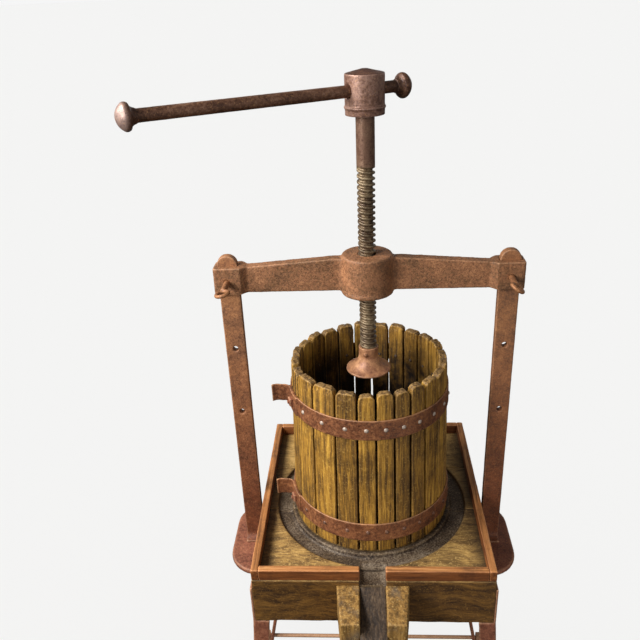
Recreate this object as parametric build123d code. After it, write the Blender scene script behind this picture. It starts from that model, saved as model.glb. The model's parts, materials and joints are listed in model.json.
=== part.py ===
from build123d import *
import os
from math import atan, cos, degrees, pi

# Apple cider press with a slatted tub, an iron screw frame and a wooden juice bed on an iron stand.
# Millimetres. Z = 0 is the floor under the screw and the screw turns about the Z axis. The juice
# runs out at the spout, towards -Y, and +X is to the right of a person who faces the spout.

# Clearances
running_gap = 0.08      # radial, between a pin, bar or screw and its hole
fixed_gap = 0.05        # radial, between fixed pieces that are fitted together
slot_gap = 0.25         # round an upright, in the eye of the crosshead
seat_gap = 0.3          # under a piece that only stands on the bed

# Slatted tub, wider at the base. The shares are the staves' widths in degrees, from the front left.
tub_height = 350.0
tub_top_radius = 150.0
tub_base_radius = 159.0
stave_thickness = 16.0
stave_gap = 4.0
stave_round = 9.0
stave_edge = 1.2
stave_drop = 5.0        # how far the lowest stave top is below the highest
first_stave_angle = -134.0
stave_shares = (19, 16, 13, 13, 12, 13, 15) + 16 * (15,) + (19,)

# Hoops, their rivets and the lapped end that stands out as an ear
hoop_width = 40.0
hoop_thickness = 3.0
upper_hoop_drop = 73.0
lower_hoop_rise = 47.5
lap_stave = 22
lap_angle = 18.0
ear_width = 37.0
ear_bend = 12.0
ear_straight = 14.0
ear_curl = 16.0
rivet_radius = 2.0
rivet_head_radius = 4.2
rivet_head_height = 2.4
clench_height = 1.2
hoop_bolt_radius = 3.5
hoop_nut_side = 14.0
hoop_nut_height = 6.0
hoop_bolt_end = 2.5     # beyond the nut
inner_seat = 0.3        # a flat head's stand-off from the staves' hollow inner faces

# Bed of three planks, with a round juice channel, an outlet and a rim
bed_top = 740.0
bed_thickness = 106.0
bed_side_border = 28.5
bed_front_border = 36.0
bed_back_border = 48.0
front_seam = -36.0
back_seam = 100.0
seam_groove = 1.6
channel_margin = 9.0
channel_width = 30.0
channel_depth = 9.0
outlet_width = 48.0
outlet_depth = 12.0
trim_width = 14.0
trim_height = 24.0
trim_edge = 1.5

# Spout
cheek_width = 44.0
cheek_taper = 10.0
cheek_length = 89.0
cheek_height = 92.0
cheek_drop = 10.0
cheek_edge = 3.0
chute_fall = 34.0
chute_overhang = 26.0
chute_thickness = 16.0
chute_edge = 2.0

# Uprights and sole plate
upright_width = 38.0
upright_thickness = 16.0
upright_clearance = 10.5    # between the bed's side and an upright
upright_foot_depth = 46.0
upright_foot_height = 4.0
upright_foot_round = 13.0
tenon_width = 22.0
tenon_thickness = 12.0
tenon_head = 5.0
tenon_head_rim = 6.0
sole_overhang = 28.0
sole_depth = 216.0
sole_round = 65.0
sole_thickness = 12.0
pin_radius = 5.5
pin_spacing = 143.0
lower_pin_holes = 2

# Crosshead
crosshead_rise = 138.0      # tub rim to the crosshead's lower edge
crosshead_end_height = 50.0
crosshead_mid_height = 62.0
crosshead_thickness = 22.0
boss_radius = 46.5
boss_lip = 1.6
boss_lip_height = 7.0
boss_above = 6.0
boss_below = 6.0
boss_fillet = 14.0
eye_wall = 5.5
eye_front_wall = 14.0
eye_back_wall = 12.0
eye_flare = 11.0
eye_height = 52.0
eye_corner = 5.0
pin_rise = 24.0             # crosshead's lower edge to the pins

# Eye pins
pin_tail = 6.0
pin_neck = 38.0
ring_radius = 11.0
ring_wire_radius = 3.5
ring_twists = {-1: -12.0, 1: 34.0}     # about the pin, for the left and the right ring

# Screw, with a left-hand thread
screw_radius = 16.0
thread_pitch = 10.16
thread_depth = 4.3
shank_length = 87.0
screw_length = 480.0        # foot's face to the head's underside
journal_radius = 11.0
pin_groove_depth = 2.7
head_tenon_radius = 13.0
head_tenon_length = 24.0

# Head and bar
head_radius = 33.0
head_height = 65.0
head_cone = 7.0
head_bead_radius = 2.0
head_bead_rise = 12.5
bar_radius = 10.0
bar_rise = 39.0
bar_angle = 29.5
bar_long_end = 374.0        # screw axis to the far knob's neck
bar_short_end = 58.0        # screw axis to the near knob's neck
bar_mouth = 3.5
knob_radius = 21.0
knob_length = 29.0
knob_neck_radius = 11.5
knob_tip_radius = 1.5
knob_tenon_radius = 7.0
knob_tenon_length = 18.0

# Press foot
foot_depth_in_tub = 31.0    # tub rim to the foot's face
foot_radius = 43.0
foot_edge = 3.5
foot_height = 49.0
foot_neck_radius = 18.5
foot_neck_start = 30.0
foot_waist = (27.0, 13.0)   # radius and height of a point on the bell's curve
foot_pin_rise = 37.0
foot_pin_radius = 3.0
foot_pin_angle = -108.0
foot_floor = 9.0

# Follower
follower_gap = 5.0          # radial, inside the staves' narrowest place
follower_thickness = 22.0
cleat_width = 70.0
cleat_thickness = 26.0
cleat_end_margin = 14.0

# Stand
front_leg_width = 32.0
front_leg_depth = 30.0
front_leg_wall = 5.0
front_leg_slope = 0.07
front_leg_tab = 84.0
rear_leg_top = 178.0        # screw axis to a rear leg's top, along X
rear_leg_back = 175.0       # screw axis to a rear leg, along Y
rear_leg_slope = 0.1875
rear_leg_width = 30.0
rear_leg_thickness = 9.0
rear_foot_length = 46.0
rear_foot_thickness = 6.0
tie_rise = 105.0
tie_radius = 5.0
tie_end = 16.0
nut_side = 19.0
nut_height = 11.0

# Lag screws
lag_radius = 3.5
lag_length = 45.0
lag_head_side = 13.0
lag_head_height = 6.0
sole_lag_x = 140.0
rear_lag_setback = 14.0
rear_lag_spacing = 16.0

# Derived sizes
channel_inner = tub_base_radius + channel_margin
channel_outer = channel_inner + channel_width
bed_half = channel_outer + bed_side_border
bed_front = -(channel_outer + bed_front_border)
bed_back = channel_outer + bed_back_border
bed_bottom = bed_top - bed_thickness
upright_x = bed_half + upright_clearance + upright_width / 2
sole_bottom = bed_bottom - sole_thickness
tub_base = bed_top + seat_gap
tub_rim = tub_base + tub_height
crosshead_bottom = bed_top + tub_height + crosshead_rise
pin_level = crosshead_bottom + pin_rise
boss_bottom = crosshead_bottom - boss_below
boss_top = crosshead_bottom + crosshead_mid_height + boss_above
foot_face = bed_top + tub_height - foot_depth_in_tub
foot_top = foot_face + foot_height
head_bottom = foot_face + screw_length
head_top = head_bottom + head_height
bar_level = head_bottom + bar_rise
bore_radius = screw_radius + running_gap
taper = degrees(atan((tub_base_radius - tub_top_radius) / tub_height))
eye_half_width = upright_width / 2 + slot_gap + eye_wall
eye_front = -(upright_thickness / 2 + slot_gap + eye_front_wall)
eye_back = upright_thickness / 2 + slot_gap + eye_back_wall
chute_front = bed_front - cheek_length - chute_overhang
follower_radius = min(tub_top_radius, tub_base_radius) - stave_thickness - follower_gap


def block(x0, x1, y0, y1, z0, z1):
    """A box between two corners."""
    middle = Pos((x0 + x1) / 2, (y0 + y1) / 2, (z0 + z1) / 2)
    return middle * Box(x1 - x0, y1 - y0, z1 - z0)


def rod(radius, z0, z1):
    """A round bar on the Z axis."""
    return Pos(0, 0, (z0 + z1) / 2) * Cylinder(radius, z1 - z0)


def rod_y(radius, x, z, y0, y1):
    """A round bar along Y."""
    return Pos(x, (y0 + y1) / 2, z) * Rot(90, 0, 0) * Cylinder(radius, y1 - y0)


def rod_x(radius, y, z, x0, x1):
    """A round bar along X."""
    return Pos((x0 + x1) / 2, y, z) * Rot(0, 90, 0) * Cylinder(radius, x1 - x0)


def side_profile(face, y0, y1):
    """Extrude a face drawn in X and Z from y0 to y1."""
    return Pos(0, y1, 0) * Rot(90, 0, 0) * extrude(face, y1 - y0)


def end_profile(face, x0, x1):
    """Extrude a face drawn in Y and Z from x0 to x1."""
    return extrude(Plane.YZ.offset(x0) * face, x1 - x0)


def polygon(*points):
    return make_face(Polyline(*points, close=True))


def dome(radius, height):
    """A rivet head that stands on the XY plane."""
    ball = (radius ** 2 + height ** 2) / (2 * height)
    return Pos(0, 0, height - ball) * Sphere(ball) & rod(ball, 0, height)


# Tub

def tub_radius(rise):
    """The staves' outer radius at a height above the tub's base."""
    return tub_base_radius + (tub_top_radius - tub_base_radius) * rise / tub_height


def tub_band(low, high, inset, outset, start, sweep_angle):
    """A length of the tub's wall or of a hoop, between two heights and two angles."""
    section = polygon(
        (tub_radius(low) + inset, low),
        (tub_radius(low) + outset, low),
        (tub_radius(high) + outset, high),
        (tub_radius(high) + inset, high),
    )
    band = revolve(Plane.XZ * section, axis=Axis.Z, revolution_arc=sweep_angle)
    return Pos(0, 0, tub_base) * Rot(0, 0, start) * band


def wall_place(angle, rise):
    """A place on the staves' outer face, with Z pointing straight out of it."""
    return Rot(0, 0, angle) * Pos(tub_radius(rise), 0, tub_base + rise) * Rot(0, 90 - taper, 0)


def stave_spans():
    """The start angle and width of each stave's share of the circle."""
    whole = sum(stave_shares)
    start = first_stave_angle
    spans = []
    for share in stave_shares:
        width = 360 * share / whole
        spans.append((start, width))
        start += width
    return spans


def stave_middle(index):
    start, width = stave_spans()[index]
    return start + width / 2


def hoop_levels():
    return (tub_height - upper_hoop_drop, lower_hoop_rise)


def stave(index):
    start, width = stave_spans()[index]
    gap = degrees(stave_gap / tub_top_radius)
    top = tub_height - stave_drop * (index * 7 % 5) / 4
    board = tub_band(0, top, -stave_thickness, 0, start + gap / 2, width - gap)
    upper = board.edges().filter_by(GeomType.LINE)
    upper = upper.filter_by_position(Axis.Z, tub_base + top - 0.1, tub_base + top + 0.1)
    board = fillet(upper, stave_round)
    board = fillet(board.edges(), stave_edge)
    for rise in hoop_levels():
        radius = hoop_bolt_radius if index == lap_stave else rivet_radius
        board -= wall_place(start + width / 2, rise) * rod(radius + fixed_gap, -2 * stave_thickness, 9)
    return board


def hoop_ear(rise, angle):
    """The strap's end, bent out from the tub and curled back at its tip."""
    lead_in = Line((-2, 0), (0, 0))
    bend = JernArc((0, 0), (1, 0), ear_bend, 75)
    straight = Line(bend @ 1, bend @ 1 + ear_straight * (bend % 1))
    curl = JernArc(straight @ 1, straight % 1, ear_curl, 45)
    strap = trace(lead_in + bend + straight + curl, line_width=hoop_thickness)
    radius = tub_radius(rise) + 1.5 * hoop_thickness
    place = Rot(0, 0, angle) * Pos(radius, 0, tub_base + rise - ear_width / 2) * Rot(0, 0, -90)
    return place * extrude(strap, ear_width)


def hoop(rise):
    low = rise - hoop_width / 2
    high = rise + hoop_width / 2
    middle = stave_middle(lap_stave)
    lap_end = middle - lap_angle / 2
    strap = tub_band(low, high, 0, hoop_thickness, 0, 360)
    strap += tub_band(low, high, hoop_thickness, 2 * hoop_thickness, lap_end, lap_angle)
    strap += hoop_ear(rise, lap_end)
    for index in range(len(stave_shares)):
        radius = hoop_bolt_radius if index == lap_stave else rivet_radius
        strap -= wall_place(stave_middle(index), rise) * rod(radius + fixed_gap, -5, 20)
    return strap


def hoop_rivets():
    """One rivet through each hoop and stave, clenched inside, but for the bolted lap."""
    shank = rod(rivet_radius, -stave_thickness - 1, hoop_thickness + 0.5)
    head = Pos(0, 0, hoop_thickness) * dome(rivet_head_radius, rivet_head_height)
    clench = Rot(180, 0, 0) * dome(rivet_head_radius - 1, clench_height)
    clench = Pos(0, 0, -stave_thickness - inner_seat) * clench
    rivet = shank + head + clench
    rivets = []
    for rise in hoop_levels():
        for index in range(len(stave_shares)):
            if index != lap_stave:
                rivets.append(wall_place(stave_middle(index), rise) * rivet)
    return Compound(rivets)


def hoop_bolts():
    """The bolt through each hoop's lap, with its square nut outside."""
    nut_seat = 2 * hoop_thickness
    shank = rod(hoop_bolt_radius, -stave_thickness - 1, nut_seat + hoop_nut_height + hoop_bolt_end)
    nut = Pos(0, 0, nut_seat) * extrude(Rectangle(hoop_nut_side, hoop_nut_side), hoop_nut_height)
    nut = chamfer(nut.edges().group_by(Axis.Z)[-1], 1)
    head = Pos(0, 0, -stave_thickness - inner_seat) * Rot(180, 0, 0) * dome(hoop_bolt_radius + 4, 3)
    bolt = shank + nut + head
    bolts = [wall_place(stave_middle(lap_stave), rise) * bolt for rise in hoop_levels()]
    return Compound(bolts)


# Bed

def lag_places():
    """Each lag screw's place, with Z pointing down out of its head."""
    places = []
    for x in (-sole_lag_x, sole_lag_x):
        for y in (-sole_depth / 3, sole_depth / 3):
            places.append(Pos(x, y, sole_bottom) * Rot(180, 0, 0))
    for side in (-1, 1):
        x = side * (rear_leg_top - rear_foot_length + rear_lag_setback)
        for offset in (-rear_lag_spacing / 2, rear_lag_spacing / 2):
            place = Pos(x, rear_leg_back + offset, bed_bottom - rear_foot_thickness)
            places.append(place * Rot(180, 0, 0))
    return places


def lag_holes():
    return [place * rod(lag_radius + fixed_gap, -lag_length - 0.5, 5) for place in lag_places()]


def lag_screws():
    screws = []
    for place in lag_places():
        head = extrude(Rectangle(lag_head_side, lag_head_side), lag_head_height)
        head = chamfer(head.edges().group_by(Axis.Z)[-1], 1)
        screws.append(place * (head + rod(lag_radius, -lag_length, 1)))
    return Compound(screws)


def bed():
    """The whole bed, before it is cut at the seams."""
    slab = block(-bed_half, bed_half, bed_front, bed_back, bed_bottom, bed_top)
    ring = rod(channel_outer, bed_top - channel_depth, bed_top + 5)
    slab -= ring - rod(channel_inner, bed_top - 2 * channel_depth, bed_top + 6)
    half = outlet_width / 2
    mouth = -(channel_inner + channel_width / 2)
    slab -= block(-half, half, bed_front - 5, mouth, bed_top - outlet_depth, bed_top + 5)
    for seam in (front_seam, back_seam):
        side = seam_groove * 2 ** 0.5
        slab -= Pos(0, seam, bed_top) * Rot(45, 0, 0) * Box(2 * bed_half + 2, side, side)
    for hole in lag_holes():
        slab -= hole
    return slab


def bed_planks():
    slab = bed()
    cuts = (bed_front, front_seam, back_seam, bed_back)
    names = ("bed_plank_front", "bed_plank_middle", "bed_plank_back")
    planks = {}
    for name, y0, y1 in zip(names, cuts, cuts[1:]):
        planks[name] = slab & block(-bed_half, bed_half, y0, y1, bed_bottom, bed_top)
    return planks


def trim_strip(x0, x1, y0, y1):
    strip = block(x0, x1, y0, y1, bed_top, bed_top + trim_height)
    return fillet(strip.edges(), trim_edge)


def trims():
    """The rim: side strips run the full depth, the others fit between them."""
    inner = bed_half - trim_width
    gap = outlet_width / 2
    front = (bed_front, bed_front + trim_width)
    return {
        "trim_left": trim_strip(-bed_half, -inner, bed_front, bed_back),
        "trim_right": trim_strip(inner, bed_half, bed_front, bed_back),
        "trim_back": trim_strip(-inner, inner, bed_back - trim_width, bed_back),
        "trim_front_left": trim_strip(-inner, -gap, *front),
        "trim_front_right": trim_strip(gap, inner, *front),
    }


def spout_cheek(side):
    inner = outlet_width / 2
    outline = polygon(
        (side * inner, bed_front),
        (side * (inner + cheek_width), bed_front),
        (side * (inner + cheek_width - cheek_taper), bed_front - cheek_length),
        (side * inner, bed_front - cheek_length),
    )
    top = bed_top - cheek_drop
    cheek = Pos(0, 0, top - cheek_height) * extrude(outline, cheek_height)
    rim = [edge for edge in cheek.edges().group_by(Axis.Z)[-1] if edge.center().Y < bed_front - 1]
    return fillet(rim, cheek_edge)


def spout_chute():
    """The sloping board between the cheeks."""
    start = bed_top - outlet_depth
    section = polygon(
        (bed_front, start),
        (bed_front, start - chute_thickness),
        (chute_front, start - chute_fall - chute_thickness),
        (chute_front, start - chute_fall),
    )
    board = end_profile(section, -outlet_width / 2, outlet_width / 2)
    front = board.edges().filter_by_position(Axis.Y, chute_front - 0.1, chute_front + 0.1)
    return fillet(front, chute_edge)


# Frame

def upright(side):
    """A flat bar with a flared foot, a round top, its pin holes and a riveted tenon."""
    half = upright_thickness / 2
    foot = upright_foot_depth / 2
    top = crosshead_bottom + eye_height + upright_width / 2
    knee = bed_bottom + upright_foot_height + upright_foot_round
    flare = upright_foot_round * (1 - cos(pi / 4))
    outline = Polyline(
        (-foot, bed_bottom + upright_foot_height), (-foot, bed_bottom), (foot, bed_bottom),
        (foot, bed_bottom + upright_foot_height),
    )
    low = bed_bottom + upright_foot_height
    right = ThreePointArc((foot, low), (half + flare, low + flare), (half, knee))
    left = ThreePointArc((-half, knee), (-half - flare, low + flare), (-foot, low))
    straight = Polyline((half, knee), (half, top), (-half, top), (-half, knee))
    bar = end_profile(make_face(outline + right + straight + left), -upright_width / 2, upright_width / 2)
    tip = Pos(0, top - upright_width / 2) * Circle(upright_width / 2)
    face = tip + Pos(0, (top - upright_width / 2 + bed_bottom) / 2) * Rectangle(
        upright_width, top - upright_width / 2 - bed_bottom)
    bar &= side_profile(face, -upright_foot_depth, upright_foot_depth)
    for number in range(lower_pin_holes + 1):
        level = pin_level - number * pin_spacing
        bar -= rod_y(pin_radius + running_gap, 0, level, -upright_foot_depth, upright_foot_depth)
    bar += block(-tenon_width / 2, tenon_width / 2, -tenon_thickness / 2, tenon_thickness / 2,
                 sole_bottom - tenon_head, bed_bottom + 1)
    rivet = extrude(Rectangle(tenon_width + tenon_head_rim, tenon_thickness + tenon_head_rim), -tenon_head)
    rivet = chamfer(rivet.edges().group_by(Axis.Z)[0], 2)
    bar += Pos(0, 0, sole_bottom) * rivet
    return Pos(side * upright_x, 0, 0) * bar


def sole_plate():
    """The plate across under the bed that both uprights are riveted to."""
    length = 2 * (upright_x + upright_width / 2 + sole_overhang)
    plate = extrude(RectangleRounded(length, sole_depth, sole_round), sole_thickness)
    plate = fillet(plate.edges().group_by(Axis.Z)[-1], 3)
    plate = Pos(0, 0, sole_bottom) * plate
    for side in (-1, 1):
        plate -= Pos(side * upright_x, 0, 0) * block(
            -tenon_width / 2, tenon_width / 2, -tenon_thickness / 2, tenon_thickness / 2,
            sole_bottom - 1, bed_bottom + 1)
    for hole in lag_holes():
        plate -= hole
    return plate


def crosshead():
    half = crosshead_thickness / 2
    plan = Circle(boss_radius) + Rectangle(2 * upright_x, crosshead_thickness)
    crook = [vertex for vertex in plan.vertices() if abs(vertex.X) < boss_radius + 1]
    plan = fillet([v for v in crook if abs(abs(v.Y) - half) < 0.5], boss_fillet)
    for side in (-1, 1):
        inner = upright_x - eye_half_width
        outer = upright_x + eye_half_width
        eye = polygon(
            (side * (inner - eye_flare), -half),
            (side * inner, eye_front),
            (side * outer, eye_front),
            (side * outer, eye_back),
            (side * inner, eye_back),
            (side * (inner - eye_flare), half),
        )
        corners = [v for v in eye.vertices() if abs(abs(v.X) - outer) < 0.5]
        plan += fillet(corners, eye_corner)
    casting = Pos(0, 0, crosshead_bottom) * extrude(plan, crosshead_mid_height)
    shoulder = boss_radius + boss_fillet
    arm_end = upright_x - eye_half_width
    outer = upright_x + eye_half_width
    low = crosshead_bottom
    outline = polygon(
        (-outer, low), (outer, low), (outer, low + eye_height), (arm_end, low + eye_height),
        (arm_end - eye_flare, low + crosshead_end_height), (shoulder, low + crosshead_mid_height),
        (-shoulder, low + crosshead_mid_height), (eye_flare - arm_end, low + crosshead_end_height),
        (-arm_end, low + eye_height), (-outer, low + eye_height),
    )
    casting &= side_profile(outline, -100, 100)
    boss = rod(boss_radius, boss_bottom, boss_top)
    boss = fillet(boss.edges().group_by(Axis.Z)[-1], 4)
    casting += boss
    lip = rod(boss_radius + boss_lip, boss_bottom, boss_bottom + boss_lip_height)
    casting += fillet(lip.edges(), boss_lip)
    casting -= rod(bore_radius, boss_bottom - 5, boss_top + 5)
    for side in (-1, 1):
        slot_x = upright_width / 2 + slot_gap
        slot_y = upright_thickness / 2 + slot_gap
        casting -= Pos(side * upright_x, 0, 0) * block(
            -slot_x, slot_x, -slot_y, slot_y, low - 5, low + eye_height + 5)
        casting -= rod_y(pin_radius + running_gap, side * upright_x, pin_level, -60, 60)
    return casting


def eye_pin(side):
    """A pin with a ring for a handle, pushed through the crosshead's eye and the upright."""
    x = side * upright_x
    ring_front = eye_front - pin_neck
    pin = rod_y(pin_radius, x, pin_level, ring_front, eye_back + pin_tail)
    pin = chamfer(pin.edges().group_by(Axis.Y)[-1], 1.5)
    ring = Rot(0, ring_twists[side], 0) * Torus(ring_radius, ring_wire_radius)
    return pin + Pos(x, ring_front - ring_radius, pin_level) * ring


# Screw

def screw():
    """The screw: a bar with a left-hand groove, a journal for the foot and a tenon for the head."""
    thread_low = foot_top + 4
    thread_high = head_bottom - shank_length
    root = screw_radius - thread_depth
    path = Helix(pitch=thread_pitch, height=thread_high - thread_low, radius=root,
                 center=(0, 0, thread_low), lefthand=True)
    crest = thread_pitch * 0.28
    section = polygon(
        (0, -1.4), (1, -2.2), (thread_depth - 0.9, -crest), (thread_depth + 1, -crest - 1.5),
        (thread_depth + 1, crest + 1.5), (thread_depth - 0.9, crest), (1, 2.2), (0, 1.4),
    )
    start = Plane(origin=path @ 0, x_dir=(1, 0, 0), z_dir=path % 0)
    groove = sweep(start * section, path=path, is_frenet=True)
    bar = Rot(0, 0, 37) * rod(screw_radius, foot_top + 0.8, head_bottom)
    bar -= groove
    bar += rod(head_tenon_radius, head_bottom - 1, head_bottom + head_tenon_length)
    journal = rod(journal_radius, foot_face + foot_floor + seat_gap, foot_top + 1)
    pin_level_in_foot = foot_face + foot_pin_rise
    reach = foot_pin_radius + 1
    ring = rod(journal_radius + 1, pin_level_in_foot - reach, pin_level_in_foot + reach)
    journal -= ring - rod(journal_radius - pin_groove_depth, pin_level_in_foot - 9, pin_level_in_foot + 9)
    return bar + journal


def bar_place():
    """A place on the bar's axis over the screw, with X along the bar to its short end."""
    return Pos(0, 0, bar_level) * Rot(0, 0, bar_angle)


def screw_head():
    head = rod(head_radius, head_bottom, head_top)
    head += Pos(0, 0, head_top + head_cone / 2) * Cone(head_radius, 5, head_cone)
    head += Pos(0, 0, head_bottom + head_bead_rise) * Torus(head_radius, head_bead_radius)
    head -= rod(head_tenon_radius + fixed_gap, head_bottom - 5, head_bottom + head_tenon_length + 0.5)
    hole = rod_x(bar_radius + running_gap, 0, 0, -2 * head_radius, 2 * head_radius)
    for side in (-1, 1):
        flare = Cone(bar_radius, bar_radius + 2 * bar_mouth, 2 * bar_mouth)
        hole += Rot(0, side * 90, 0) * Pos(0, 0, head_radius) * flare
    return head - bar_place() * hole


def knob():
    """A rounded knob along +X, with its neck at the origin."""
    neck = ThreePointArc((0, knob_neck_radius), (5, knob_neck_radius + 1.5), (9, knob_radius - 2))
    belly = ThreePointArc((9, knob_radius - 2), (14, knob_radius), (20, knob_radius - 2.5))
    crown = ThreePointArc((20, knob_radius - 2.5), (26.5, knob_radius / 2), (knob_length, knob_tip_radius))
    base = Polyline((knob_length, knob_tip_radius), (knob_length, 0), (0, 0), (0, knob_neck_radius))
    return revolve(make_face(neck + belly + crown + base), axis=Axis.X)


def handle_bar():
    """The bar with its forged knob at the long end and a tenon for the other knob."""
    bar = rod_x(bar_radius, 0, 0, -bar_long_end - 1, bar_short_end)
    bar += Pos(-bar_long_end, 0, 0) * Rot(0, 0, 180) * knob()
    bar += rod_x(knob_tenon_radius, 0, 0, bar_short_end - 1, bar_short_end + knob_tenon_length)
    return bar_place() * bar


def handle_knob():
    loose = knob() - rod_x(knob_tenon_radius + fixed_gap, 0, 0, -1, knob_tenon_length + 0.5)
    return bar_place() * Pos(bar_short_end, 0, 0) * loose


def press_foot():
    """The bell-shaped foot that turns freely on the screw's journal."""
    bell = ThreePointArc((foot_radius, foot_edge), foot_waist, (foot_neck_radius, foot_neck_start))
    rest = Polyline(
        (foot_neck_radius, foot_neck_start), (foot_neck_radius, foot_height), (0, foot_height), (0, 0),
        (foot_radius, 0), (foot_radius, foot_edge),
    )
    foot = revolve(Plane.XZ * make_face(bell + rest), axis=Axis.Z)
    foot -= rod(journal_radius + running_gap, foot_floor, foot_height + 5)
    foot = Pos(0, 0, foot_face) * foot
    return foot - foot_pin_place() * rod(foot_pin_radius + fixed_gap, 0, 2 * foot_neck_radius)


def foot_pin_place():
    level = foot_face + foot_pin_rise
    return Pos(0, 0, level) * Rot(0, 0, foot_pin_angle) * Rot(0, 90, 0)


def foot_pin():
    """The pin through the foot's neck, whose tip keeps the screw's grooved journal in."""
    shank = rod(foot_pin_radius, journal_radius - pin_groove_depth + 0.4, foot_neck_radius + 1)
    head = Pos(0, 0, foot_neck_radius + 0.2) * dome(foot_pin_radius + 2, 3)
    return foot_pin_place() * (shank + head)


# Follower

def follower_board():
    low = bed_top + seat_gap
    board = rod(follower_radius, low, low + follower_thickness)
    return chamfer(board.edges(), 2)


def follower_cleat():
    low = bed_top + seat_gap + follower_thickness
    reach = follower_radius - cleat_end_margin - cleat_width / 4
    cleat = block(-cleat_width / 2, cleat_width / 2, -reach, reach, low, low + cleat_thickness)
    return fillet(cleat.edges().group_by(Axis.Z)[-1], 3)


# Stand

def front_leg(side):
    """An angle iron whose side flange is screwed to the bed's side, splayed below the bed."""
    x = side * (bed_half + front_leg_wall)
    wall = side * front_leg_wall
    foot_y = bed_front + front_leg_depth
    angle = polygon(
        (x, bed_front), (x, foot_y), (x - wall, foot_y), (x - wall, bed_front + front_leg_wall),
        (x - side * front_leg_width, bed_front + front_leg_wall), (x - side * front_leg_width, bed_front),
    )
    way = Vector(side * front_leg_slope, 0, -1)
    leg = extrude(Pos(0, 0, bed_bottom) * angle, bed_bottom * way.length, dir=way)
    low, high = sorted((x, x - wall))
    return leg + block(low, high, bed_front, foot_y, bed_bottom - 0.01, bed_bottom + front_leg_tab)


def rear_leg_x(level):
    """A rear leg's middle, along X, at a height above the floor."""
    return rear_leg_top + rear_leg_slope * (bed_bottom - level)


def rear_leg(side):
    """A flat bar, bent at its top and screwed under the bed."""
    top = bed_bottom - rear_foot_thickness
    half = rear_leg_thickness / 2
    section = Rectangle(rear_leg_thickness, rear_leg_width)
    way = Vector(side * rear_leg_slope, 0, -1)
    start = Pos(side * rear_leg_x(top), rear_leg_back, top) * section
    leg = extrude(start, top * way.length, dir=way)
    outer = side * (rear_leg_x(top) + half)
    inner = side * (rear_leg_top - rear_foot_length)
    low, high = sorted((outer, inner))
    depth = rear_leg_width / 2
    leg += block(low, high, rear_leg_back - depth, rear_leg_back + depth, top, bed_bottom)
    hole_x = rear_leg_x(tie_rise)
    leg -= rod_x(tie_radius + fixed_gap, rear_leg_back, tie_rise, side * hole_x - 20, side * hole_x + 20)
    for hole in lag_holes():
        leg -= hole
    return leg


def tie_rod():
    reach = rear_leg_x(tie_rise) + tie_end + nut_height / 2
    return rod_x(tie_radius, rear_leg_back, tie_rise, -reach, reach)


def tie_rod_nuts():
    """A square nut outside each rear leg, close to the leg's sloping face."""
    nuts = []
    for side in (-1, 1):
        face = rear_leg_x(tie_rise) + rear_leg_thickness / 2 + rear_leg_slope * nut_side / 2 + 0.1
        nut = extrude(Rectangle(nut_side, nut_side), nut_height)
        nut = chamfer(nut.edges().group_by(Axis.Z)[-1], 1.5)
        nut -= rod(tie_radius + fixed_gap, -5, nut_height + 5)
        nuts.append(Pos(side * face, rear_leg_back, tie_rise) * Rot(0, side * 90, 0) * nut)
    return Compound(nuts)


def build():
    """Every sub-part, by node name."""
    parts = {f"stave_{index + 1:02d}": stave(index) for index in range(len(stave_shares))}
    upper, lower = hoop_levels()
    parts["hoop_upper"] = hoop(upper)
    parts["hoop_lower"] = hoop(lower)
    parts["hoop_rivets"] = hoop_rivets()
    parts["hoop_bolts"] = hoop_bolts()
    parts.update(bed_planks())
    parts.update(trims())
    parts["spout_cheek_left"] = spout_cheek(-1)
    parts["spout_cheek_right"] = spout_cheek(1)
    parts["spout_chute"] = spout_chute()
    parts["sole_plate"] = sole_plate()
    parts["upright_left"] = upright(-1)
    parts["upright_right"] = upright(1)
    parts["crosshead"] = crosshead()
    parts["eye_pin_left"] = eye_pin(-1)
    parts["eye_pin_right"] = eye_pin(1)
    parts["screw"] = screw()
    parts["screw_head"] = screw_head()
    parts["handle_bar"] = handle_bar()
    parts["handle_knob"] = handle_knob()
    parts["press_foot"] = press_foot()
    parts["foot_pin"] = foot_pin()
    parts["follower_board"] = follower_board()
    parts["follower_cleat"] = follower_cleat()
    parts["leg_front_left"] = front_leg(-1)
    parts["leg_front_right"] = front_leg(1)
    parts["leg_rear_left"] = rear_leg(-1)
    parts["leg_rear_right"] = rear_leg(1)
    parts["tie_rod"] = tie_rod()
    parts["tie_rod_nuts"] = tie_rod_nuts()
    parts["lag_screws"] = lag_screws()
    return parts


os.makedirs("parts", exist_ok=True)
for name, shape in build().items():
    export_step(shape, os.path.join("parts", name + ".step"))
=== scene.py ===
import json
import math
import random

import bpy
from mathutils import Matrix, Vector

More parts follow.
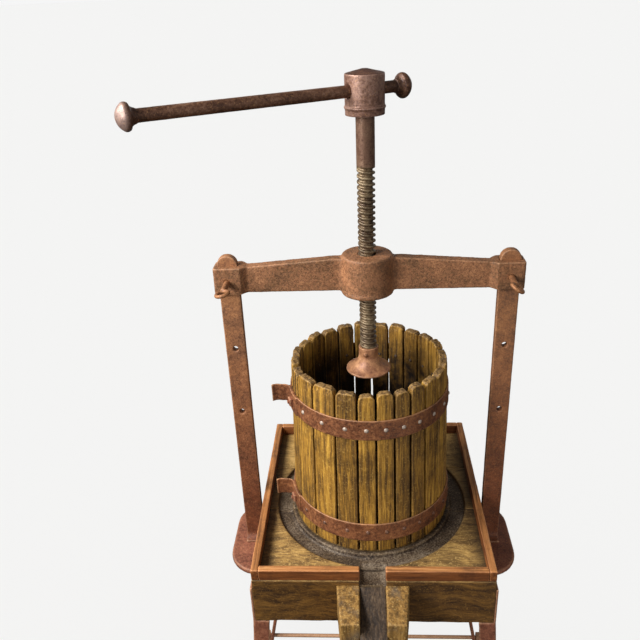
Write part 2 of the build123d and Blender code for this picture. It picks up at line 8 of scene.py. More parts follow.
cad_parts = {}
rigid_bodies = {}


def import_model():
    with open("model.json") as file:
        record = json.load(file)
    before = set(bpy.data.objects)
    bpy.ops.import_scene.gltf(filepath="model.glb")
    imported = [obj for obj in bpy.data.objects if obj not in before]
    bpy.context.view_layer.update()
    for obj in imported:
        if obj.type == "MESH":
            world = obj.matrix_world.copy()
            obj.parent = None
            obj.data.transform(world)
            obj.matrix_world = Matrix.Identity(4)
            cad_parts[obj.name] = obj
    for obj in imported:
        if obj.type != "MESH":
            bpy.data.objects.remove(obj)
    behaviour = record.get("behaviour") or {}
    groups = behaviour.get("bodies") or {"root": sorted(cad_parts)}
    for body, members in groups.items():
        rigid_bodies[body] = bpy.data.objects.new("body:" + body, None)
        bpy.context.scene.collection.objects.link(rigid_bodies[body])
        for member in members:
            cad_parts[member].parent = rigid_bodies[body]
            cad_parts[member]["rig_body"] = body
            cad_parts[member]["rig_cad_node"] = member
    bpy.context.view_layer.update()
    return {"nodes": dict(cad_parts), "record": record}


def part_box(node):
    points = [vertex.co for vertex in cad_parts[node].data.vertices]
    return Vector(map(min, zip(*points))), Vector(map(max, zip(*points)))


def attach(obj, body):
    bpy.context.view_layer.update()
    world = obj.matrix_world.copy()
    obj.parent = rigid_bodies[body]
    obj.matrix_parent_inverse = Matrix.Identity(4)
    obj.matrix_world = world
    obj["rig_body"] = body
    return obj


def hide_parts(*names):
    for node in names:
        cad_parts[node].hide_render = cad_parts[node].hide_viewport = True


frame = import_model()
nodes = frame["nodes"]
record = frame["record"]
slotOf = {row["node"]: row["material_slot"] for row in record["subparts"]}
bodyOf = {name: body for body, names in record["behaviour"]["bodies"].items() for name in names}
print("frame loaded:", len(nodes), "nodes")


# Small tools

def colour(hexCode):     # sRGB hex to the linear colour that a shader takes
    parts = [int(hexCode[i:i + 2], 16) / 255 for i in (0, 2, 4)]
    linear = [c / 12.92 if c <= 0.04045 else ((c + 0.055) / 1.055) ** 2.4 for c in parts]
    return (*linear, 1.0)


def perSize(millimetres):    # a texture's scale for marks of that real size
    return 1000.0 / millimetres


def addNode(tree, kind, settings=None, links=None):
    node = tree.nodes.new(kind)
    for name, value in (settings or {}).items():
        if name == "stops":
            stops = node.color_ramp.elements
            while len(stops) < len(value):
                stops.new(0.5)
            for stop, (position, tint) in zip(stops, value):
                stop.position = position
                stop.color = tint
        elif isinstance(name, int) or name in node.inputs:
            node.inputs[name].default_value = value
        else:
            setattr(node, name, value)
    for name, socket in (links or {}).items():
        tree.links.new(socket, node.inputs[name])
    return node


def ramp(tree, value, start, end, low=0.0, high=1.0):     # from low at start to high at end, clamped
    return addNode(tree, "ShaderNodeMapRange", {1: start, 2: end, 3: low, 4: high}, {0: value}).outputs[0]


def calculate(tree, operation, first, second):     # the second value may be a number
    fixed = {"operation": operation}
    links = {0: first}
    if isinstance(second, float):
        fixed[1] = second
    else:
        links[1] = second
    return addNode(tree, "ShaderNodeMath", fixed, links).outputs[0]


def blend(tree, kind, share, under, over):     # over is a hex colour or a socket
    settings = {"data_type": "RGBA", "blend_type": kind}
    links = {0: share, 6: under}
    if isinstance(over, str):
        settings[7] = colour(over)
    else:
        links[7] = over
    return addNode(tree, "ShaderNodeMix", settings, links).outputs[2]


def weigh(tree, first, second, share):     # share of the first value and the rest of the second
    settings = {"operation": "MULTIPLY_ADD", 1: share}
    links = {0: first, 2: calculate(tree, "MULTIPLY", second, 1 - share)}
    return addNode(tree, "ShaderNodeMath", settings, links).outputs[0]


def separate(tree, vector):
    return addNode(tree, "ShaderNodeSeparateXYZ", None, {0: vector}).outputs


def facingUp(tree):      # 1 on faces that look up, 0 on upright ones
    return separate(tree, addNode(tree, "ShaderNodeNewGeometry").outputs["Normal"])["Z"]


def fromAxis(tree, place):       # the distance from the screw's axis
    flat = addNode(tree, "ShaderNodeVectorMath", {"operation": "MULTIPLY", 1: (1, 1, 0)}, {0: place})
    return addNode(tree, "ShaderNodeVectorMath", {"operation": "LENGTH"}, {0: flat.outputs[0]}).outputs["Value"]


def ringMask(tree, place, inner, outer, soft):     # 1 between two distances from the screw's axis, in mm
    reach = fromAxis(tree, place)
    start = ramp(tree, reach, (inner - soft) / 1000, (inner + soft) / 1000)
    end = ramp(tree, reach, (outer - soft) / 1000, (outer + soft) / 1000, 1.0, 0.0)
    return calculate(tree, "MULTIPLY", start, end)


def noiseOf(tree, place, size, detail, roughness):     # size of the marks in mm
    settings = {"Scale": perSize(size), "Detail": detail, "Roughness": roughness}
    return addNode(tree, "ShaderNodeTexNoise", settings, {"Vector": place}).outputs["Fac"]


def shiftedNoise(tree, place, shift, size, detail, roughness):     # a shift gives other marks of the same size
    settings = {"noise_dimensions": "4D", "Scale": perSize(size), "Detail": detail, "Roughness": roughness}
    return addNode(tree, "ShaderNodeTexNoise", settings, {"Vector": place, "W": shift}).outputs


def shadesOf(tree, value, positions, tints):
    stops = [(position, colour(tint)) for position, tint in zip(positions, tints)]
    return addNode(tree, "ShaderNodeValToRGB", {"stops": stops}, {0: value}).outputs[0]


def newMaterial(name):
    material = bpy.data.materials.new(name)
    material.use_nodes = True
    tree = material.node_tree
    tree.nodes.clear()
    output = addNode(tree, "ShaderNodeOutputMaterial")
    return material, tree, output


def selectOnly(piece):
    if bpy.context.object and bpy.context.object.mode != "OBJECT":
        bpy.ops.object.mode_set(mode="OBJECT")
    bpy.ops.object.select_all(action="DESELECT")
    piece.hide_set(False)
    piece.select_set(True)
    bpy.context.view_layer.objects.active = piece


def applyModifier(piece, kind, **settings):
    selectOnly(piece)
    modifier = piece.modifiers.new(kind, kind)
    for name, value in settings.items():
        setattr(modifier, name, value)
    bpy.ops.object.modifier_apply(modifier=modifier.name)


# Camera

cameraPlace = {
    "position": (-0.0081, -1.1763, 1.7275),
    "yaw": -4.015,       # degrees
    "down": 25.54,
    "roll": -2.746,
    "lens": 38.83,       # mm, on a sensor 36 mm wide
    "near": 0.05,        # metres
    "far": 4000,
}


def makeCamera(place):
    yaw, down, roll = (math.radians(place[k]) for k in ("yaw", "down", "roll"))
    forward = Vector((math.sin(yaw) * math.cos(down), math.cos(yaw) * math.cos(down), -math.sin(down)))
    level = Vector((math.cos(yaw), -math.sin(yaw), 0))
    upright = level.cross(forward)
    right = math.cos(roll) * level + math.sin(roll) * upright
    up = -math.sin(roll) * level + math.cos(roll) * upright
    camera = bpy.data.objects.new("camera", bpy.data.cameras.new("camera"))
    camera.data.sensor_width = 36
    camera.data.lens = place["lens"]
    camera.data.clip_start = place["near"]
    camera.data.clip_end = place["far"]
    turn = Matrix((right, up, -forward)).transposed()
    camera.matrix_world = Matrix.Translation(place["position"]) @ turn.to_4x4()
    bpy.context.scene.collection.objects.link(camera)
    bpy.context.scene.camera = camera


makeCamera(cameraPlace)
print("camera placed")


# Light and floor

studio = {
    # The sky's brightness by the height of the direction: dim below, pale at the horizon, softer above.
    "sky": ((0.0, 0.03), (0.485, 0.03), (0.50, 0.92), (0.53, 0.92), (0.57, 0.60), (0.66, 0.20), (1.0, 0.14)),
    "suns": (
        # name, strength, angle in degrees, direction that the light travels in
        ("fill", 0.22, 60, (-0.35, 0.9, -0.45)),
    ),
    "floorSun": ("floor_light", 2.62, 40, (0.1, 0.1, -1.0)),     # straight down, and on the floor alone
    "softBoxes": (
        # name, size in metres, watts, place, aim
        ("key_box", 1.1, 60.0, (-1.74, -0.25, 2.64), (0.0, 0.0, 1.0)),
        ("front_box", 0.7, 31.0, (-1.30, -1.2, 1.95), (-0.05, -0.15, 0.9)),
        ("low_box", 0.4, 1.0, (0.62, -0.95, 0.66), (0.2, -0.3, 0.68)),
    ),
    "floorColour": "f2f2f1",
    "floorSize": 4000,       # metres, so that its edge is at the horizon
    "floorLevel": -0.0005,   # just under the feet
}


def makeStudio(look):
    scene = bpy.context.scene
    scene.view_settings.view_transform = "Standard"
    world = bpy.data.worlds.new("studio")
    world.use_nodes = True
    tree = world.node_tree
    way = addNode(tree, "ShaderNodeTexCoord").outputs["Generated"]
    share = ramp(tree, separate(tree, way)["Z"], -1.0, 1.0)
    stops = [(position, (level, level, level, 1)) for position, level in look["sky"]]
    sky = addNode(tree, "ShaderNodeValToRGB", {"stops": stops}, {0: share})
    tree.links.new(sky.outputs[0], tree.nodes["Background"].inputs["Color"])
    scene.world = world
    lamps = []
    for name, strength, angle, way in (*look["suns"], look["floorSun"]):
        light = bpy.data.lights.new(name, "SUN")
        light.energy = strength
        light.angle = math.radians(angle)
        lamp = bpy.data.objects.new(name, light)
        lamp.rotation_euler = Vector(way).to_track_quat("-Z", "Y").to_euler()
        scene.collection.objects.link(lamp)
        lamps.append(lamp)
    for name, size, watts, place, aim in look["softBoxes"]:
        light = bpy.data.lights.new(name, "AREA")
        light.shape = "DISK"
        light.size = size
        light.energy = watts
        lamp = bpy.data.objects.new(name, light)
        lamp.location = place
        lamp.rotation_euler = (Vector(aim) - Vector(place)).to_track_quat("-Z", "Y").to_euler()
        scene.collection.objects.link(lamp)
        lamps.append(lamp)
    bpy.ops.object.select_all(action="DESELECT")
    bpy.ops.mesh.primitive_plane_add(size=look["floorSize"], location=(0, 0, look["floorLevel"]))
    floor = bpy.context.object
    floor.name = "studio_floor"
    floor.visible_diffuse = False     # a white floor would fill every shadow from below
    floor.visible_glossy = False
    material, tree, output = newMaterial("matt white paper")
    shader = addNode(tree, "ShaderNodeBsdfPrincipled", {
        "Base Color": colour(look["floorColour"]), "Roughness": 1.0, "Specular IOR Level": 0.0})
    tree.links.new(shader.outputs[0], output.inputs[0])
    floor.data.materials.append(material)
    for lamp in lamps:       # the object's lamps pass the floor by, and the floor's lamp lights it alone
        receivers = bpy.data.collections.new("lit_by_" + lamp.name)
        receivers.objects.link(floor)
        state = "INCLUDE" if lamp.name == look["floorSun"][0] else "EXCLUDE"
        receivers.collection_objects[0].light_linking.link_state = state
        lamp.light_linking.receiver_collection = receivers
        if state == "INCLUDE":
            lamp.light_linking.blocker_collection = receivers


makeStudio(studio)
print("studio lit")


# Wood: sawn oak and softwood, oiled long ago and weathered. Grain runs along one axis.

def wetWood(tree, look, tint, place, stains, flecks):     # juice has darkened the channel and the outlet
    inner, outer, soft, shades = look["channel"]
    parts = separate(tree, place)
    side = addNode(tree, "ShaderNodeMath", {"operation": "ABSOLUTE"}, {0: parts["X"]}).outputs[0]
    half, top = outlet["half"], outlet["top"]
    narrow = ramp(tree, side, half, half + outlet["fade"], 1.0, 0.0)
    front = ramp(tree, parts["Y"], *outlet["start"])
    high = ramp(tree, parts["Z"], top - outlet["low"], top - outlet["deep"])
    run = calculate(tree, "MULTIPLY", calculate(tree, "MULTIPLY", narrow, front), high)
    mask = calculate(tree, "MAXIMUM", ringMask(tree, place, inner, outer, soft), run)
    mask = calculate(tree, "MULTIPLY", mask, look["channelShare"])
    wet = shadesOf(tree, weigh(tree, stains, flecks, 0.5), (0.43, 0.50, 0.60), shades)
    # The channel's two lips are the darkest: juice, and painted shade in the corners of the groove.
    innerLip = ringMask(tree, place, inner - 2, inner + 5, soft)
    outerLip = ringMask(tree, place, outer - 4, outer + 1, soft / 2)
    lipShade = addNode(tree, "ShaderNodeMath", {"operation": "ADD", "use_clamp": True}, {0: innerLip, 1: outerLip})
    wet = blend(tree, "MIX", calculate(tree, "MULTIPLY", lipShade.outputs[0], look["lipShadeShare"]), wet, shades[0])
    tint = blend(tree, "MIX", mask, tint, wet)
    # Darker on the bed's top along the rim: dirt, and painted shadow cast by the rim strips.
    dirtShadeWidth, dirtShadeTint, dirtShadeShare = look["dirtAndShade"]
    rim = ramp(tree, side, rimInner - dirtShadeWidth / 1000, rimInner)
    level = ramp(tree, parts["Z"], top - 0.002, top - 0.001)
    dirtAndShade = calculate(tree, "MULTIPLY", calculate(tree, "MULTIPLY", rim, level), dirtShadeShare)
    return blend(tree, "MIX", dirtAndShade, tint, dirtShadeTint)


def tubInsideStainAndShade(tree, look, tint, place, stains):     # inside the tub the staves are darkened nearly black: juice stain, and painted shade deeper in the tub
    depth, rim, shade = look["hollow"]
    depth, rim = depth / 1000, rim / 1000
    height = separate(tree, place)["Z"]
    wall = ramp(tree, height, tub["low"], tub["high"], tub["lowRadius"], tub["highRadius"])
    inward = calculate(tree, "SUBTRACT", wall, fromAxis(tree, place))
    inside = ramp(tree, inward, 0.3 * depth, depth)
    below = ramp(tree, height, tub["high"] - rim, tub["high"] - 0.2 * rim, 1.0, 0.25)
    blotch = ramp(tree, stains, 0.40, 0.56, 0.6, 1.0)
    mask = calculate(tree, "MULTIPLY", calculate(tree, "MULTIPLY", inside, below), blotch)
    return blend(tree, "MULTIPLY", mask, tint, shade)


def rubEdges(tree, look, tint, grain):     # edges are rubbed paler: Pointiness tells ridges from hollows
    point = addNode(tree, "ShaderNodeNewGeometry").outputs["Pointiness"]
    edge = ramp(tree, point, 0.52, 0.60, 0.0, look["edgeShare"])
    settings = {"operation": "MULTIPLY", "use_clamp": True}
    patchy = addNode(tree, "ShaderNodeMath", settings, {0: edge, 1: grain})
    return blend(tree, "MIX", patchy.outputs[0], tint, look["edgeTint"])


def shadeWood(tree, look, tint, place, stains, flecks):
    if look.get("sideShadeTint"):       # faces that don't look up are darker: painted shade
        side = ramp(tree, facingUp(tree), 0.75, 0.35)
        tint = blend(tree, "MULTIPLY", side, tint, look["sideShadeTint"])
    if look.get("channel"):
        tint = wetWood(tree, look, tint, place, stains, flecks)
    if look.get("endTint"):        # sawn tops show pale, pitted end grain
        pale, pitTint, share = look["endTint"]
        end = ramp(tree, facingUp(tree), 0.35, 0.75, 0.0, share)
        pits = ramp(tree, flecks, 0.44, 0.56)
        settings = {"data_type": "RGBA", "blend_type": "MIX", 6: colour(pitTint), 7: colour(pale)}
        endTint = addNode(tree, "ShaderNodeMix", settings, {0: pits}).outputs[2]
        tint = blend(tree, "MIX", end, tint, endTint)
    if look.get("hollow"):
        tint = tubInsideStainAndShade(tree, look, tint, place, stains)
    return tint


# Places on the bed and the tub that the stains and painted shade follow, in metres.
outlet = {
    "half": -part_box("trim_front_left")[1].x,      # half its width, between the front rim strips
    "top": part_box("bed_plank_front")[1].z,
    "fade": 0.003,                 # the stain's soft edge at each side
    "start": (-0.150, -0.165),     # where it leaves the round channel, along Y
    "low": 0.030,                  # below the bed's top: dry from here down
    "deep": 0.016,                 # and wet from here up
}
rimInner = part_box("trim_right")[0].x
tub = {
    "low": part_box("stave_08")[0].z,
    "high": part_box("stave_08")[1].z,
    "lowRadius": 0.159,            # of the staves' outer faces at the base
    "highRadius": 0.150,           # and at the rim
}


def woodMaterial(name, look):
    material, tree, output = newMaterial(name)
    place = addNode(tree, "ShaderNodeTexCoord").outputs["Object"]
    tone = addNode(tree, "ShaderNodeAttribute", {"attribute_name": "tone"}).outputs["Fac"]
    toneShift = calculate(tree, "MULTIPLY", tone, 40.0)      # no two staves have the same grain
    stretch = [1.0, 1.0, 1.0]
    stretch["xyz".index(look["grain"])] = look["grainWidth"] / look["grainLength"]
    # The fibres wander: a slow noise bends the place before it is stretched along the grain.
    drift = shiftedNoise(tree, place, toneShift, look["wander"], 1.0, 0.5)["Color"]
    centred = addNode(tree, "ShaderNodeVectorMath", {"operation": "SUBTRACT", 1: (0.5, 0.5, 0.5)}, {0: drift})
    bend = {"operation": "MULTIPLY_ADD", 1: (look["bend"] / 1000,) * 3}
    bent = addNode(tree, "ShaderNodeVectorMath", bend, {0: centred.outputs[0], 2: place})
    along = addNode(tree, "ShaderNodeMapping", {"Scale": stretch}, {"Vector": bent.outputs[0]}).outputs[0]
    bands = shiftedNoise(tree, along, toneShift, look["ring"], 3.0, 0.6)["Fac"]
    fibres = shiftedNoise(tree, along, toneShift, look["grainWidth"], 4.0, 0.7)["Fac"]
    stains = noiseOf(tree, place, look["stain"], 5.0, 0.65)
    flecks = noiseOf(tree, place, look["fleck"], 3.0, 0.75)
    shifted = addNode(tree, "ShaderNodeMath", {"operation": "MULTIPLY_ADD", 1: look["toneShare"]},
                      {0: tone, 2: weigh(tree, bands, fibres, 0.55)})
    base = shadesOf(tree, shifted.outputs[0], (0.30, 0.44, 0.54, 0.66), look["tints"])
    tint = blend(tree, "MIX", ramp(tree, stains, 0.50, 0.68, 0.0, look["stainShare"]), base, look["stainTint"])
    tint = blend(tree, "MIX", ramp(tree, flecks, 0.56, 0.70, 0.0, look["fleckShare"]), tint, look["fleckTint"])
    tint = blend(tree, "MIX", ramp(tree, fibres, 0.36, 0.28, 0.0, look["crackShare"]), tint, look["crackTint"])
    tint = shadeWood(tree, look, tint, place, stains, flecks)
    tint = rubEdges(tree, look, tint, fibres)
    roughness = ramp(tree, fibres, 0.3, 0.7, look["rough"][1], look["rough"][0])
    height = addNode(tree, "ShaderNodeMath", {"operation": "MULTIPLY_ADD", 1: 0.6}, {0: flecks, 2: fibres})
    bump = addNode(tree, "ShaderNodeBump", {"Strength": look["bump"], "Distance": 0.001},
                   {"Height": height.outputs[0]})
    shader = addNode(tree, "ShaderNodeBsdfPrincipled", {"IOR": 1.5, "Specular IOR Level": look["gloss"]},
                     {"Base Color": tint, "Roughness": roughness, "Normal": bump.outputs[0]})
    tree.links.new(shader.outputs[0], output.inputs[0])
    return material


# In every look the sizes of marks are in mm, a share goes from 0 to 1, and tints go from dark to bright.
# Oak staves: split and shaved oak, oiled by years of juice and pale on the ridges, and dark inside the tub from
# juice stain and painted shade.
staveOak = {
    "grain": "z", "grainWidth": 1.9, "grainLength": 40.0, "ring": 6.0, "wander": 90.0, "bend": 8.0,
    "stain": 60.0, "fleck": 4.0, "tints": ("33200b", "6b4b1c", "a87a2c", "dcab4a"),
    "stainTint": "3a2610", "stainShare": 0.6, "fleckTint": "d8ac58", "fleckShare": 0.5,
    "crackTint": "2a190a", "crackShare": 0.8, "edgeShare": 1.6, "edgeTint": "d0a45c",
    "toneShare": 0.12, "rough": (0.45, 0.75), "bump": 0.8, "gloss": 0.4,
    "hollow": (8.0, 90.0, "32261b"),       # depth and rim in mm, tint of the juice stain and painted shade
    "endTint": ("9c7a4c", "3d2a18", 0.75),  # end grain: pale, pits, share
}
# The bed: thick oak planks, speckled gold on top where the oil has dried, and painted shade on the faces that
# don't look up.
bedOak = dict(staveOak, **{
    "grain": "x", "grainWidth": 3.0, "grainLength": 26.0, "ring": 12.0, "wander": 75.0, "bend": 45.0,
    "stain": 110.0, "fleck": 3.4, "tints": ("4c3518", "8a6a3b", "b58f50", "d6ad68"),
    "stainTint": "443119", "stainShare": 0.6, "fleckTint": "e2bc76", "fleckShare": 0.8,
    "crackShare": 0.35, "edgeTint": "b08b50",
    "edgeShare": 0.7, "bump": 0.5, "hollow": None, "endTint": None, "sideShadeTint": "aa987f",
    "channel": (157.0, 199.0, 3.0, ("130c08", "43352a", "827360")),      # radii and softness in mm, tints
    "channelShare": 0.93, "lipShadeShare": 0.8,
    "dirtAndShade": (30.0, "2b1f16", 0.85),        # width in mm, tint, share
})
# The rim: red-stained hardwood strip, worn to a pale orange on its arrises, with painted shade on its sides.
trimRed = dict(staveOak, **{
    "hollow": None, "endTint": None,
    "grain": "x", "grainWidth": 2.4, "grainLength": 70.0, "ring": 6.0, "stain": 60.0, "fleck": 5.0,
    "tints": ("5a3519", "8f5c30", "b57843", "d8a066"), "stainTint": "4a3020", "stainShare": 0.6,
    "fleckTint": "d69a62", "fleckShare": 0.25, "edgeTint": "e09a66", "edgeShare": 2.0,
    "crackShare": 0.5, "toneShare": 0.0, "bump": 0.35, "sideShadeTint": "b29c86",
})
# The spout's cheeks: oak blocks with upright grain, gone grey in patches.
cheekOak = dict(staveOak, **{
    "hollow": None, "endTint": None,
    "grain": "z", "grainWidth": 3.2, "grainLength": 45.0, "ring": 9.0, "bend": 10.0, "wander": 40.0,
    "tints": ("3c2912", "6a4d24", "967039", "c09654"), "fleck": 5.0, "fleckTint": "dab674", "fleckShare": 0.7,
    "stain": 40.0, "stainTint": "65584a", "stainShare": 0.75, "bump": 0.9, "toneShare": 0.0,
})
# The spout's board: soaked dark by juice.
chuteWood = dict(staveOak, **{
    "hollow": None, "endTint": None,
    "grain": "y", "grainWidth": 3.0, "grainLength": 50.0, "tints": ("1a110b", "33261a", "4b3a2a", "685540"),
    "fleckTint": "806c52", "fleckShare": 0.3, "stainTint": "1f160f", "stainShare": 0.7, "toneShare": 0.0,
    "edgeTint": "8f7a5a",
})
# The follower and its cleat: the same oak, pressed wet.
followerWood = dict(staveOak, **{
    "hollow": None, "endTint": None,
    "grain": "y", "tints": ("30210f", "54391b", "71522a", "8a6a3a"), "toneShare": 0.0,
})

wood = {
    "stave_oak": woodMaterial("oiled oak stave", staveOak),
    "bed_oak": woodMaterial("old oak plank", bedOak),
    "trim_redwood": woodMaterial("red-stained strip along x", trimRed),
    "trim_redwood_deep": woodMaterial("red-stained strip along y", dict(trimRed, grain="y")),
    "cheek_oak": woodMaterial("oak block", cheekOak),
    "chute_wood": woodMaterial("juice-worn board", chuteWood),
    "follower_wood": woodMaterial("follower board", followerWood),
}
print("woods mixed")


# Iron: wrought or cast, rusted brown under old oil and handled smooth on its edges.

def shadeIron(tree, look, tint, place):
    if look.get("zones"):          # a second colour above a height and outside a radius, in metres
        level, zoneTint, share, radius = look["zones"]
        above = ramp(tree, separate(tree, place)["Z"], level - 0.002, level + 0.002, 0.0, share)
        outside = ringMask(tree, place, 1000 * radius, 1000, 1)
        tint = blend(tree, "MIX", calculate(tree, "MULTIPLY", above, outside), tint, zoneTint)
    if look.get("lowTint"):        # redder and darker towards the foot: low and high in metres, tint
        low, high, footTint = look["lowTint"]
        under = ramp(tree, separate(tree, place)["Z"], low, high, 1.0, 0.0)
        tint = blend(tree, "MULTIPLY", under, tint, footTint)
    if look.get("inside"):         # hidden in the tub: dark within a distance from the screw's axis, for juice stain and painted shade
        reach, hiddenStainAndShadeTint = look["inside"]
        tint = blend(tree, "MIX", ringMask(tree, place, -1000, 1000 * reach, 1), tint, hiddenStainAndShadeTint)
    if look.get("palmWearAndHighlight"):           # a knob paler beyond a distance from the screw's axis: rubbed bare by hands, and a painted highlight
        reach, bareAndHighlightTint = look["palmWearAndHighlight"]
        tint = blend(tree, "MIX", ringMask(tree, place, 1000 * reach, 10000, 4), tint, bareAndHighlightTint)
    if look.get("topShadeTint"):         # faces that look up are darker: painted shade
        tint = blend(tree, "MULTIPLY", ramp(tree, facingUp(tree), 0.6, 0.9), tint, look["topShadeTint"])
    return tint


def ironMaterial(name, look):
    material, tree, output = newMaterial(name)
    place = addNode(tree, "ShaderNodeTexCoord").outputs["Object"]
    clouds = noiseOf(tree, place, look["cloud"], 4.0, 0.6)
    mottle = noiseOf(tree, place, look["mottle"], 5.0, 0.7)
    grit = noiseOf(tree, place, look["grit"], 2.0, 0.8)
    base = shadesOf(tree, weigh(tree, clouds, mottle, 0.45), (0.34, 0.45, 0.54, 0.66), look["tints"])
    tint = shadeIron(tree, look, base, place)
    tint = blend(tree, "MIX", ramp(tree, grit, 0.44, 0.34, 0.0, look["pitShare"]), tint, look["pitTint"])
    tint = blend(tree, "MIX", ramp(tree, grit, 0.57, 0.68, 0.0, look["dustShare"]), tint, look["dustTint"])
    tint = rubEdges(tree, look, tint, mottle)
    roughness = ramp(tree, mottle, 0.35, 0.65, *look["rough"])
    height = addNode(tree, "ShaderNodeMath", {"operation": "MULTIPLY_ADD", 1: 0.7}, {0: grit, 2: mottle})
    bump = addNode(tree, "ShaderNodeBump", {"Strength": look["bump"], "Distance": 0.001},
                   {"Height": height.outputs[0]})
    shader = addNode(tree, "ShaderNodeBsdfPrincipled", {"Metallic": look["metal"]},
                     {"Base Color": tint, "Roughness": roughness, "Normal": bump.outputs[0]})
    tree.links.new(shader.outputs[0], output.inputs[0])
    return material


# Wrought bar: forge scale and brown rust, even and dry.
uprightIron = {
    "cloud": 55.0, "mottle": 5.5, "grit": 2.6, "tints": ("5f3d28", "875b3d", "a26d45", "bd8659"),
    "pitTint": "3a2115", "pitShare": 0.55, "dustTint": "c4935f", "dustShare": 0.4,
    "edgeShare": 1.6, "edgeTint": "d0a27c", "rough": (0.5, 0.75), "bump": 0.45, "metal": 0.15,
}
# Sand casting: grainy skin, redder in the hollows.
crossheadIron = dict(uprightIron, **{
    "mottle": 5.0, "grit": 2.6, "tints": ("55371f", "7f5738", "9b6845", "ba8358"), "pitTint": "3c2216",
    "pitShare": 0.7, "bump": 0.9, "edgeShare": 1.6,
})
# Hoops: flat strap, rubbed smooth and rusted red.
hoopIron = dict(uprightIron, **{
    "cloud": 45.0, "mottle": 6.0, "tints": ("3c2114", "6c3f27", "8e5836", "b3794b"), "edgeTint": "cf9f72",
    "edgeShare": 1.6, "dustTint": "b88a5e", "bump": 0.5, "rough": (0.4, 0.7), "metal": 0.25,
})
# Legs, tie rod and sole plate: rust-red iron, smoother than the uprights.
standIron = dict(uprightIron, **{
    "tints": ("5a3020", "824c37", "9a5e44", "b07355"), "pitTint": "3f2017", "bump": 0.35,
})
# Screw: old grease in the thread, and a bare brown shank above its upper end.
screwSteel = dict(uprightIron, **{
    "cloud": 40.0, "mottle": 8.0, "grit": 2.6, "tints": ("2b1b12", "54402e", "7a654b", "a08b6d"),
    "pitTint": "20130d", "edgeTint": "b5a586", "edgeShare": 1.8, "rough": (0.3, 0.55),
    "bump": 0.35, "metal": 0.45, "dustTint": "93805f", "zones": (1.453, "7d5a49", 0.75, -1.0),
})
# Head: a casting with a dull sheen from hands, and painted shade on its top faces.
headIron = dict(uprightIron, **{
    "tints": ("503429", "7a5747", "937060", "b08d7b"), "edgeTint": "c5a595", "metal": 0.35,
    "rough": (0.32, 0.55), "bump": 0.3, "topShadeTint": "a08a80",
})
# Bar: dark forged steel, with the far knob paler: rubbed bare, and a painted highlight.
barSteel = dict(headIron, **{
    "topShadeTint": None, "tints": ("35221a", "553728", "704d3a", "94705a"), "cloud": 50.0, "metal": 0.4,
    "rough": (0.34, 0.6), "palmWearAndHighlight": (0.389, "8f766c"),
})
# Press foot: turned iron, worn smooth and coppery.
footIron = dict(uprightIron, **{
    "cloud": 40.0, "mottle": 12.0, "tints": ("6b4230", "99684a", "b58159", "cf9c73"), "edgeTint": "d9b08c",
    "rough": (0.40, 0.62), "metal": 0.2, "bump": 0.25, "pitShare": 0.4,
})
# Small iron: the pins, and the bolts, nuts and lag screws, as red as the legs.
pinIron = dict(uprightIron, **{"rough": (0.4, 0.65), "metal": 0.25, "bump": 0.3})
boltIron = dict(standIron, **{"mottle": 6.0, "metal": 0.25})
# Rivets: bright on the upper hoop, rusty on the lower, dark inside the tub from juice stain and painted shade.
rivetSteel = dict(headIron, **{
    "topShadeTint": None, "tints": ("3a2116", "54321f", "6b452e", "80583b"), "metal": 0.3, "rough": (0.4, 0.6),
    "zones": (0.95, "b9ab9c", 0.85, 0.146), "inside": (0.146, "1c130c"), "edgeShare": 0.5,
})

iron = {
    "upright_iron": ironMaterial("forged iron bar", dict(uprightIron, lowTint=(0.75, 1.20, "c8a8a0"))),
    "crosshead_iron": ironMaterial("sand-cast iron", crossheadIron),
    "hoop_iron": ironMaterial("hoop iron", hoopIron),
    "stand_iron": ironMaterial("painted angle iron", standIron),
    "screw_steel": ironMaterial("greased screw steel", screwSteel),
    "head_iron": ironMaterial("handled cast hub", headIron),
    "bar_steel": ironMaterial("hand-worn bar with painted knob highlight", barSteel),
    "foot_iron": ironMaterial("turned iron foot", footIron),
    "pin_iron": ironMaterial("forged pin", pinIron),
    "bolt_iron": ironMaterial("rusted bolt", boltIron),
    "rivet_steel": ironMaterial("bright rivet", rivetSteel),
}
print("irons mixed")

finishes = {**wood, **iron}


def materialFor(name):
    if name in ("trim_left", "trim_right"):
        return finishes["trim_redwood_deep"]
    return finishes[slotOf[name]]


for name, node in nodes.items():
    node.data.materials.clear()
    node.data.materials.append(materialFor(name))


# Worn pieces: a copy of the CAD solid, remeshed, rubbed down at its edges and made uneven.

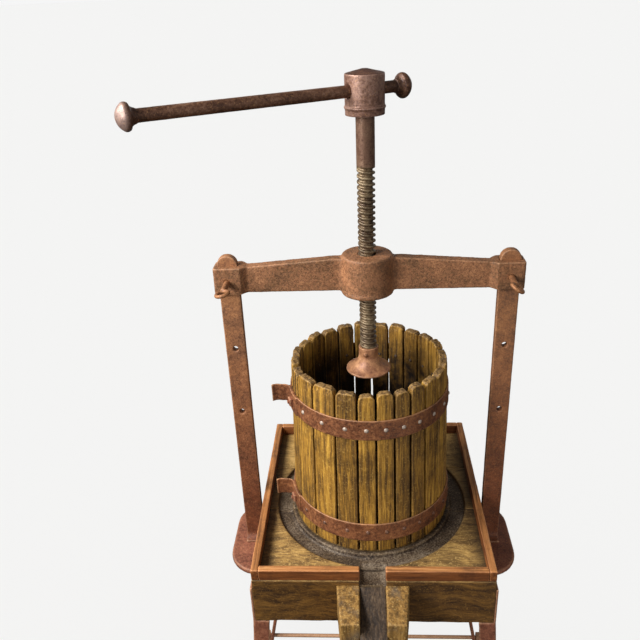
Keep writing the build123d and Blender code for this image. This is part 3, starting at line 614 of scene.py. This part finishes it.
# Sizes in mm: voxel, each dent's size and depth, and the band, size and depth of wear at the top or the foot.
# Rub is the number of smoothing passes.
wornLooks = {
    "stave": {"voxel": 2.0, "rub": 3, "dents": ((14.0, 0.9), (3.5, 0.35)), "top": (16.0, 9.0, 3.2)},
    "bed_plank": {"voxel": 2.8, "rub": 2, "dents": ((45.0, 1.2), (7.0, 0.5))},
    "bed_plank_front": {"voxel": 2.6, "rub": 2, "dents": ((45.0, 1.2), (7.0, 0.5)),
                        "foot": (14.0, 60.0, 7.0)},
    "trim": {"voxel": 1.6, "rub": 3, "dents": ((30.0, 1.0), (5.0, 0.4))},
    "spout_cheek": {"voxel": 1.6, "rub": 3, "dents": ((25.0, 1.6), (5.0, 0.7))},
    "spout_chute": {"voxel": 1.6, "rub": 2, "dents": ((20.0, 1.0), (4.0, 0.4))},
    "crosshead": {"voxel": 1.7, "rub": 4, "dents": ((22.0, 0.9), (4.5, 0.55))},
    "upright": {"voxel": 1.9, "rub": 2, "dents": ((30.0, 0.6), (6.0, 0.25))},
    "sole_plate": {"voxel": 3.0, "rub": 1, "dents": ((30.0, 0.6), (6.0, 0.3))},
    "hoop_upper": {"voxel": 1.5, "rub": 1, "dents": ((30.0, 0.8), (6.0, 0.25))},
    "hoop_lower": {"voxel": 1.5, "rub": 1, "dents": ((30.0, 0.8), (6.0, 0.25))},
    "screw": {"voxel": 1.0, "rub": 2, "dents": ((8.0, 0.25),)},
    "screw_head": {"voxel": 1.3, "rub": 3, "dents": ((12.0, 0.5), (4.0, 0.2))},
    "handle_bar": {"voxel": 1.2, "rub": 1, "dents": ((14.0, 0.4),)},
    "handle_knob": {"voxel": 1.2, "rub": 1, "dents": ((14.0, 0.4),)},
    "press_foot": {"voxel": 1.0, "rub": 2, "dents": ((12.0, 0.3),)},
    "eye_pin": {"voxel": 0.8, "rub": 2, "dents": ((6.0, 0.3),)},
    "leg": {"voxel": 2.3, "rub": 1, "dents": ((30.0, 0.5), (6.0, 0.25))},
}


def dentTexture(size):
    texture = bpy.data.textures.new("dents", "CLOUDS")
    texture.noise_scale = size / 1000
    texture.noise_depth = 2
    return texture


def wearEnd(piece, end, wear):       # chip the top end, or wear the lower edge up
    band, size, depth = wear
    heights = [v.co.z for v in piece.data.vertices]
    edge = max(heights) - band / 1000 if end == "top" else min(heights) + band / 1000
    group = piece.vertex_groups.new(name=end)
    for v in piece.data.vertices:
        beyond = 2 * (v.co.z - edge) if end == "top" else edge - v.co.z
        if beyond > 0:
            group.add([v.index], min(1.0, beyond * 1000 / band), "REPLACE")
    direction, middle = ("NORMAL", 0.72) if end == "top" else ("Z", 0.25)
    applyModifier(piece, "DISPLACE", texture=dentTexture(size), texture_coords="GLOBAL",
                  direction=direction, strength=depth / 1000, mid_level=middle, vertex_group=end)


def wornPiece(name, look, seed):
    source = nodes[name]
    piece = source.copy()
    piece.data = source.data.copy()
    piece.name = "worn_" + name
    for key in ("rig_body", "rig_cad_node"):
        if key in piece:
            del piece[key]
    piece.parent = None
    bpy.context.scene.collection.objects.link(piece)
    selectOnly(piece)
    bpy.ops.object.mode_set(mode="EDIT")
    bpy.ops.mesh.select_all(action="SELECT")
    bpy.ops.mesh.remove_doubles(threshold=0.00001)
    bpy.ops.object.mode_set(mode="OBJECT")
    applyModifier(piece, "REMESH", mode="VOXEL", voxel_size=look["voxel"] / 1000)
    applyModifier(piece, "SMOOTH", factor=0.5, iterations=look["rub"])
    for size, depth in look["dents"]:
        applyModifier(piece, "DISPLACE", texture=dentTexture(size), texture_coords="GLOBAL",
                      strength=depth / 1000, mid_level=0.5)
    for end in ("top", "foot"):
        if end in look:
            wearEnd(piece, end, look[end])
    selectOnly(piece)
    bpy.ops.object.shade_smooth()
    random.seed(seed)
    tone = piece.data.attributes.new("tone", "FLOAT", "POINT")
    level = random.uniform(-0.5, 0.5)
    tone.data.foreach_set("value", [level] * len(piece.data.vertices))
    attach(piece, bodyOf[name])
    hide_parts(name)
    return piece


pieces = {}
for seed, name in enumerate(sorted(nodes)):
    key = name if name in wornLooks else name.rsplit("_", 1)[0]
    key = key if key in wornLooks else name.split("_")[0]
    if key in wornLooks:
        pieces[name] = wornPiece(name, wornLooks[key], seed)
print("worn pieces:", len(pieces), "with", sum(len(p.data.polygons) for p in pieces.values()), "faces")
